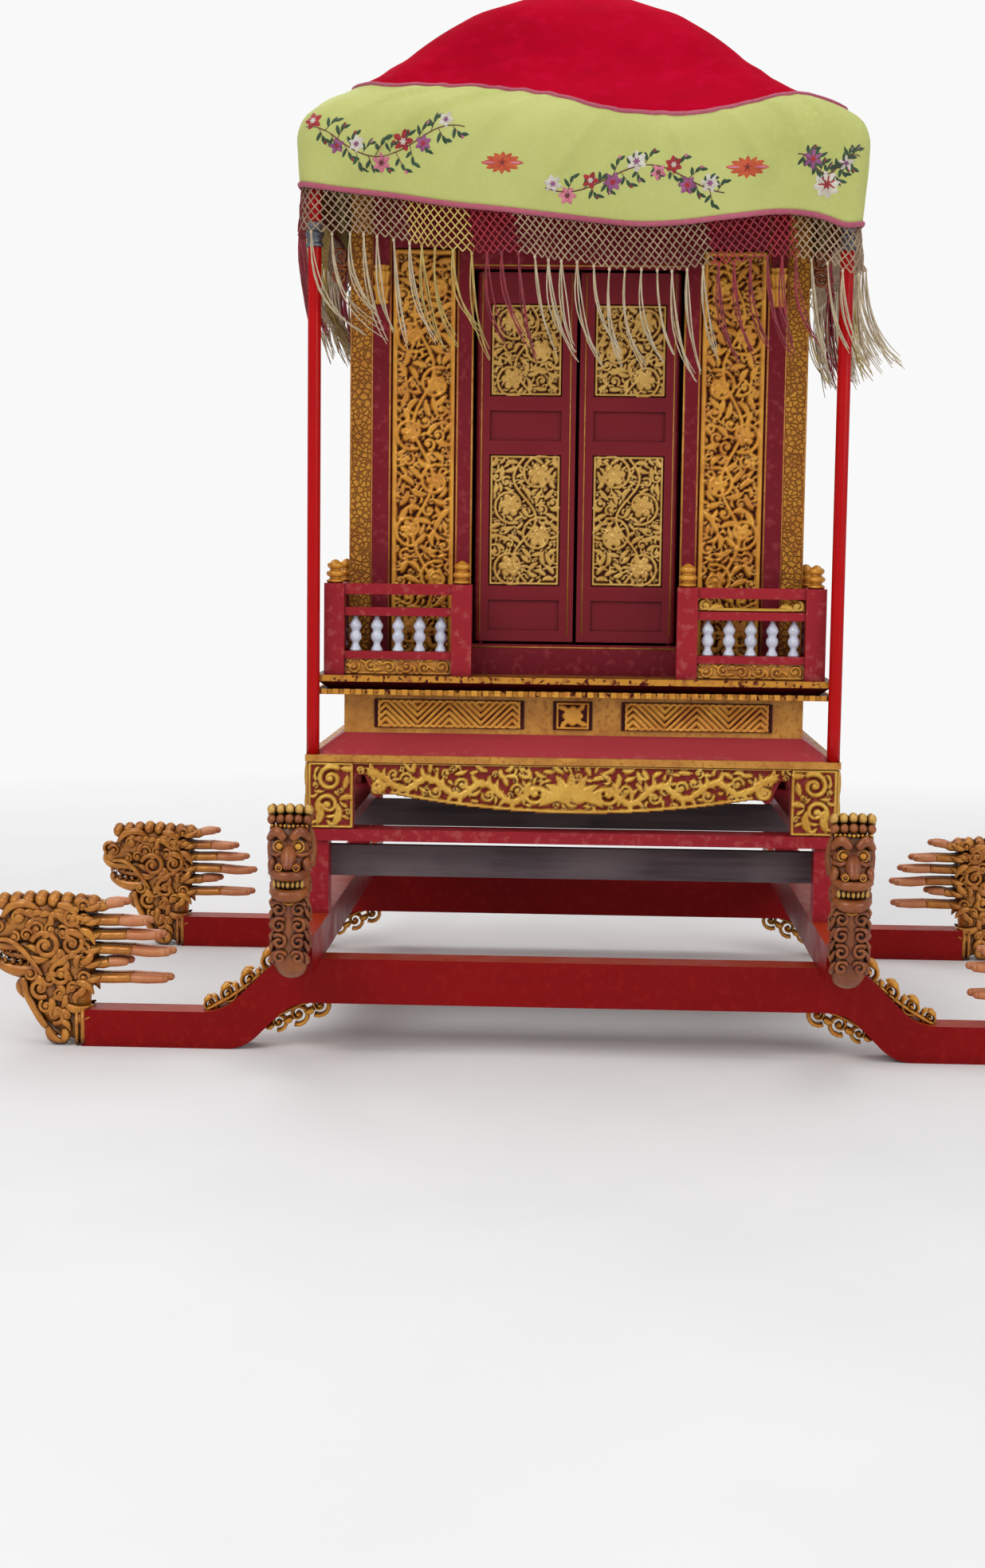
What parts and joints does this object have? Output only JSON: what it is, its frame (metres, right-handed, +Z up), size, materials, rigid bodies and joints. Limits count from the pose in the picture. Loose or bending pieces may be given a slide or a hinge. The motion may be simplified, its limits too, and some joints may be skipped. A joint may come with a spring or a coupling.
{
  "type": "processional shrine palanquin",
  "caption": "Carried shrine on bent lacquered beams with dragon ends: a railed table, a cabinet with double doors and a cloth canopy on four poles.",
  "frame": {"origin": "on the ground under the middle of the palanquin", "axes": "+X to the right seen from the front, +Y from the front to the rear, +Z up"},
  "size_m": [1.97, 1.4237, 1.8823],
  "materials": {
    "red_lacquer": "gloss lacquer",
    "gilt_wood": "gilded carving",
    "carved_lacquer": "gloss lacquer",
    "dusty_lacquer": "satin lacquer",
    "bare_timber": "raw",
    "white_paint": "gloss paint",
    "maroon_lacquer": "gloss lacquer",
    "pole_red": "gloss paint",
    "frame_timber": "raw",
    "grey_metal": "dull",
    "crimson_cloth": "velvet",
    "pale_green_cloth": "satin",
    "fringe_thread": "thread"
  },
  "bodies": {
    "palanquin": {"back_wall": "maroon_lacquer", "balusters": "white_paint", "balustrade_rails": "dusty_lacquer", "cabinet_base": "maroon_lacquer", "cabinet_roof": "maroon_lacquer", "canopy_dome": "crimson_cloth", "canopy_frame": "frame_timber", "canopy_poles": "pole_red", "capitals": "carved_lacquer", "columns": "maroon_lacquer", "corner_scrolls": "carved_lacquer", "cornice": "dusty_lacquer", "door_frame": "maroon_lacquer", "finials": "gilt_wood", "foot_rails": "dusty_lacquer", "frieze": "maroon_lacquer", "fringe": "fringe_thread", "front_apron": "dusty_lacquer", "front_beam": "red_lacquer", "front_left_dragon": "gilt_wood", "front_right_dragon": "gilt_wood", "front_scrolls": "gilt_wood", "kick_strips": "gilt_wood", "left_apron": "dusty_lacquer", "left_dragon_face": "carved_lacquer", "left_front_panel": "gilt_wood", "left_runner": "red_lacquer", "left_tail": "red_lacquer", "left_wall": "maroon_lacquer", "newels": "dusty_lacquer", "pilaster_strips": "gilt_wood", "pole_caps": "grey_metal", "rear_apron": "dusty_lacquer", "rear_beam": "red_lacquer", "rear_left_dragon": "gilt_wood", "rear_right_dragon": "gilt_wood", "rear_scrolls": "gilt_wood", "right_apron": "dusty_lacquer", "right_dragon_face": "carved_lacquer", "right_front_panel": "gilt_wood", "right_runner": "red_lacquer", "right_tail": "red_lacquer", "right_wall": "maroon_lacquer", "skirt": "dusty_lacquer", "slab": "dusty_lacquer", "stand_boards": "bare_timber", "stand_posts": "dusty_lacquer", "table_legs": "dusty_lacquer", "valance": "pale_green_cloth", "waist": "dusty_lacquer", "waist_panels": "gilt_wood"},
    "left_door": {"left_door": "maroon_lacquer", "left_door_carvings": "gilt_wood"},
    "right_door": {"right_door": "maroon_lacquer", "right_door_carvings": "gilt_wood"}
  },
  "joints": [
    {"name": "left_door_hinge", "type": "hinge", "parent": "palanquin", "child": "left_door", "pos_m": [-0.162, -0.288, 0.99], "axis": [0, 0, 1], "range_deg": [0, 90]},
    {"name": "right_door_hinge", "type": "hinge", "parent": "palanquin", "child": "right_door", "pos_m": [0.162, -0.288, 0.99], "axis": [0, 0, 1], "range_deg": [-90, 0]}
  ]
}
